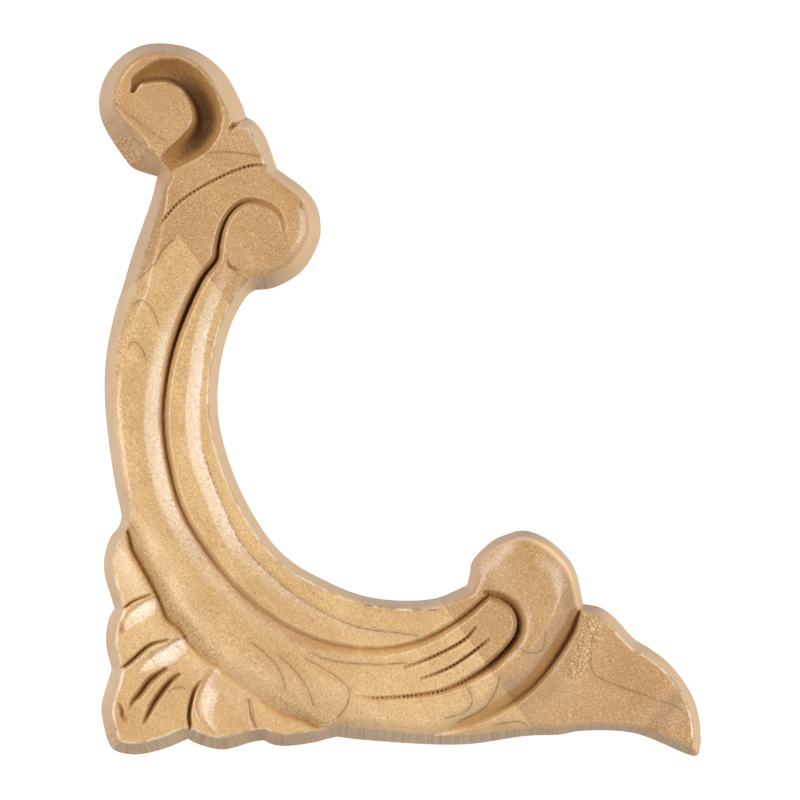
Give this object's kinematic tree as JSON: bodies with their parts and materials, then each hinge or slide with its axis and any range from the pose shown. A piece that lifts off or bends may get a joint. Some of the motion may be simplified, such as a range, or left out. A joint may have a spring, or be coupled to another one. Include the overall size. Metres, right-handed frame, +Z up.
{
  "type": "carved wooden corner onlay",
  "caption": "L-shaped carved wooden corner onlay: a C-scroll arm with volutes, a round bulb, a tail leaf and an acanthus leaf over the corner, flat at the back.",
  "frame": {"origin": "on the flat back face, behind the elbow of the arm, 23.2 mm right of the outermost left edge and 29 mm above the foot", "axes": "+Z up along the long arm, +X right towards the tail, +Y out of the flat back into the furniture; the carved face looks along -Y"},
  "size_m": [0.1203, 0.015, 0.1425],
  "materials": {
    "wood": "fine-grained pale tan hardwood, sanded and unvarnished, satin"
  },
  "bodies": {
    "root": {"corner_onlay": "wood"}
  },
  "joints": []
}
